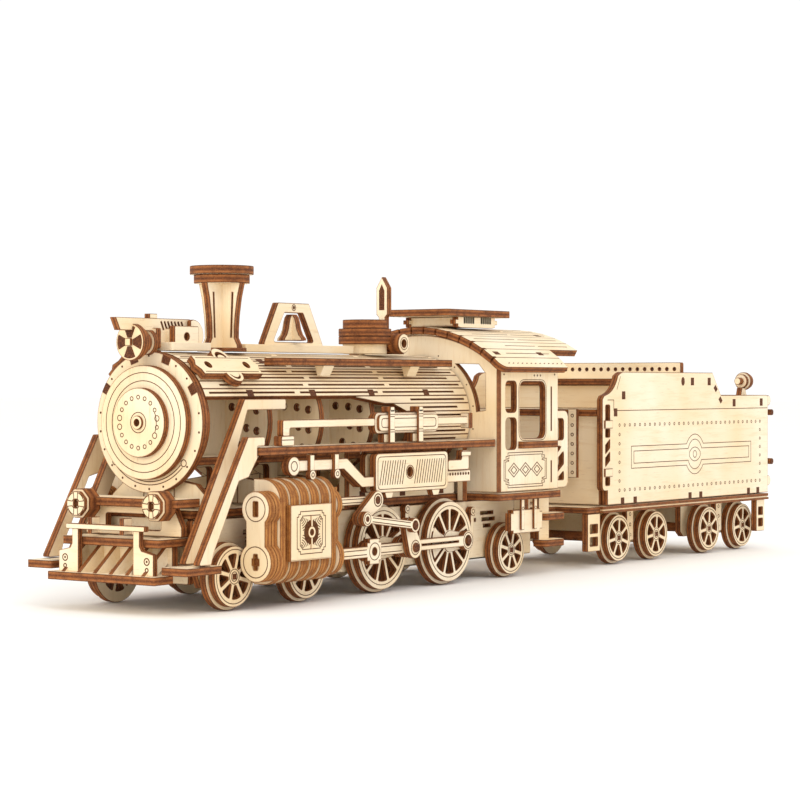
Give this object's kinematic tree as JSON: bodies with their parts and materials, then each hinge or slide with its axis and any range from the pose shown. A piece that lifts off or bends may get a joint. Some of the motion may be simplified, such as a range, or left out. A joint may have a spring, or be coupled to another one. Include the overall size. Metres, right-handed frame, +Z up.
{
  "type": "wooden 3d jigsaw locomotive model",
  "caption": "Laser-cut plywood 3D puzzle of a steam locomotive with its tender, with turning wheels, working side rods and a tender that swings on its drawbar.",
  "frame": {"origin": "centre of the footprint on the surface that the wheels stand on", "axes": "+X from the front of the locomotive to the tender's rear, +Y to the locomotive's right-hand side, +Z up"},
  "size_m": [0.2986, 0.0622, 0.0848],
  "materials": {
    "pale_plywood": "bare basswood plywood, pale cream face with faint grain and burnt laser-cut edges",
    "warm_plywood": "the same plywood where burnt edges show most, such as wheels and stacked discs",
    "burnt_edge_plywood": "stacked plywood layers whose burnt edges face outwards"
  },
  "bodies": {
    "locomotive": {"chassis_deck": "warm_plywood", "chassis_side_left": "pale_plywood", "chassis_side_right": "pale_plywood", "pilot": "pale_plywood", "front_step_board": "warm_plywood", "lamp_beam": "pale_plywood", "marker_lamp_left": "warm_plywood", "marker_lamp_right": "warm_plywood", "smokebox_ring": "pale_plywood", "smokebox_door": "pale_plywood", "headlamp_bracket": "pale_plywood", "headlamp": "warm_plywood", "boiler_shell": "pale_plywood", "boiler_ribs": "warm_plywood", "chimney": "warm_plywood", "bell_frame": "pale_plywood", "bell": "warm_plywood", "steam_dome": "warm_plywood", "whistle_post": "pale_plywood", "outer_brace_left": "pale_plywood", "outer_brace_right": "pale_plywood", "inner_brace_left": "pale_plywood", "inner_brace_right": "pale_plywood", "running_board_left": "pale_plywood", "running_board_right": "pale_plywood", "air_tank_left": "pale_plywood", "air_tank_right": "pale_plywood", "brake_box_left": "warm_plywood", "brake_box_right": "warm_plywood", "cab_front_wall": "pale_plywood", "cab_side_left": "pale_plywood", "cab_side_right": "pale_plywood", "cab_roof": "pale_plywood", "roof_vent": "warm_plywood", "cab_floor": "warm_plywood", "cylinder_block_left": "burnt_edge_plywood", "cylinder_block_right": "burnt_edge_plywood"},
    "front_driver": {"driver_wheelset_front": "warm_plywood"},
    "rear_driver": {"driver_wheelset_rear": "warm_plywood"},
    "coupling_rod_left": {"coupling_rod_left": "pale_plywood"},
    "main_rod_left": {"main_rod_left": "pale_plywood"},
    "eccentric_rod_left": {"eccentric_rod_left": "pale_plywood"},
    "crosshead_left": {"crosshead_left": "pale_plywood"},
    "valve_rod_left": {"valve_rod_left": "pale_plywood"},
    "coupling_rod_right": {"coupling_rod_right": "pale_plywood"},
    "main_rod_right": {"main_rod_right": "pale_plywood"},
    "eccentric_rod_right": {"eccentric_rod_right": "pale_plywood"},
    "crosshead_right": {"crosshead_right": "pale_plywood"},
    "valve_rod_right": {"valve_rod_right": "pale_plywood"},
    "bogie_front": {"bogie_wheelset_front": "warm_plywood"},
    "bogie_rear": {"bogie_wheelset_rear": "warm_plywood"},
    "trailing": {"trailing_wheelset": "warm_plywood"},
    "tender": {"tender_frame": "warm_plywood", "tender_body": "pale_plywood", "tender_side_left": "pale_plywood", "tender_side_right": "pale_plywood"},
    "tender_wheels_1": {"tender_wheelset_1": "warm_plywood"},
    "tender_wheels_2": {"tender_wheelset_2": "warm_plywood"},
    "tender_wheels_3": {"tender_wheelset_3": "warm_plywood"},
    "tender_wheels_4": {"tender_wheelset_4": "warm_plywood"}
  },
  "joints": [
    {"name": "front_driver_spin", "type": "hinge", "parent": "locomotive", "child": "front_driver", "pos_m": [-0.0643, 0, 0.01184], "axis": [0, 1, 0], "continuous": true},
    {"name": "rear_driver_spin", "type": "hinge", "parent": "locomotive", "child": "rear_driver", "pos_m": [-0.0335, 0, 0.01184], "axis": [0, 1, 0], "continuous": true},
    {"name": "bogie_front_spin", "type": "hinge", "parent": "locomotive", "child": "bogie_front", "pos_m": [-0.1246, 0, 0.0083], "axis": [0, 1, 0], "continuous": true},
    {"name": "bogie_rear_spin", "type": "hinge", "parent": "locomotive", "child": "bogie_rear", "pos_m": [-0.0964, 0, 0.0083], "axis": [0, 1, 0], "continuous": true},
    {"name": "trailing_spin", "type": "hinge", "parent": "locomotive", "child": "trailing", "pos_m": [-0.0028, 0, 0.00775], "axis": [0, 1, 0], "continuous": true},
    {"name": "coupling_rod_left_pivot", "type": "hinge", "parent": "front_driver", "child": "coupling_rod_left", "pos_m": [-0.0584, -0.0224, 0.01184], "axis": [0, 1, 0], "continuous": true},
    {"name": "main_rod_left_pivot", "type": "hinge", "parent": "front_driver", "child": "main_rod_left", "pos_m": [-0.0584, -0.0245, 0.01184], "axis": [0, 1, 0], "continuous": true},
    {"name": "eccentric_rod_left_pivot", "type": "hinge", "parent": "front_driver", "child": "eccentric_rod_left", "pos_m": [-0.0612, -0.0287, 0.0179], "axis": [0, 1, 0], "continuous": true},
    {"name": "crosshead_left_slide", "type": "slide", "parent": "locomotive", "child": "crosshead_left", "axis": [-1, 0, 0], "range_m": [0, 0.0118]},
    {"name": "valve_rod_left_slide", "type": "slide", "parent": "locomotive", "child": "valve_rod_left", "axis": [-1, 0, 0], "range_m": [0, 0.004]},
    {"name": "coupling_rod_right_pivot", "type": "hinge", "parent": "front_driver", "child": "coupling_rod_right", "pos_m": [-0.0584, 0.0224, 0.01184], "axis": [0, 1, 0], "continuous": true},
    {"name": "main_rod_right_pivot", "type": "hinge", "parent": "front_driver", "child": "main_rod_right", "pos_m": [-0.0584, 0.0245, 0.01184], "axis": [0, 1, 0], "continuous": true},
    {"name": "eccentric_rod_right_pivot", "type": "hinge", "parent": "front_driver", "child": "eccentric_rod_right", "pos_m": [-0.0612, 0.0287, 0.0179], "axis": [0, 1, 0], "continuous": true},
    {"name": "crosshead_right_slide", "type": "slide", "parent": "locomotive", "child": "crosshead_right", "axis": [-1, 0, 0], "range_m": [0, 0.0118]},
    {"name": "valve_rod_right_slide", "type": "slide", "parent": "locomotive", "child": "valve_rod_right", "axis": [-1, 0, 0], "range_m": [0, 0.004]},
    {"name": "tender_yaw", "type": "hinge", "parent": "locomotive", "child": "tender", "pos_m": [0.0207, 0, 0.0157], "axis": [0, 0, 1], "range_deg": [-8, 8]},
    {"name": "tender_wheels_1_spin", "type": "hinge", "parent": "tender", "child": "tender_wheels_1", "pos_m": [0.0568, 0, 0.00797], "axis": [0, 1, 0], "continuous": true},
    {"name": "tender_wheels_2_spin", "type": "hinge", "parent": "tender", "child": "tender_wheels_2", "pos_m": [0.0797, 0, 0.00797], "axis": [0, 1, 0], "continuous": true},
    {"name": "tender_wheels_3_spin", "type": "hinge", "parent": "tender", "child": "tender_wheels_3", "pos_m": [0.114, 0, 0.00797], "axis": [0, 1, 0], "continuous": true},
    {"name": "tender_wheels_4_spin", "type": "hinge", "parent": "tender", "child": "tender_wheels_4", "pos_m": [0.1371, 0, 0.00797], "axis": [0, 1, 0], "continuous": true}
  ],
  "couplings": [
    {"joint": "rear_driver_spin", "follows": "front_driver_spin", "ratio": 1},
    {"joint": "coupling_rod_left_pivot", "follows": "front_driver_spin", "ratio": -1},
    {"joint": "main_rod_left_pivot", "follows": "front_driver_spin", "ratio": -1},
    {"joint": "eccentric_rod_left_pivot", "follows": "front_driver_spin", "ratio": -1},
    {"joint": "coupling_rod_right_pivot", "follows": "front_driver_spin", "ratio": -1},
    {"joint": "main_rod_right_pivot", "follows": "front_driver_spin", "ratio": -1},
    {"joint": "eccentric_rod_right_pivot", "follows": "front_driver_spin", "ratio": -1}
  ]
}
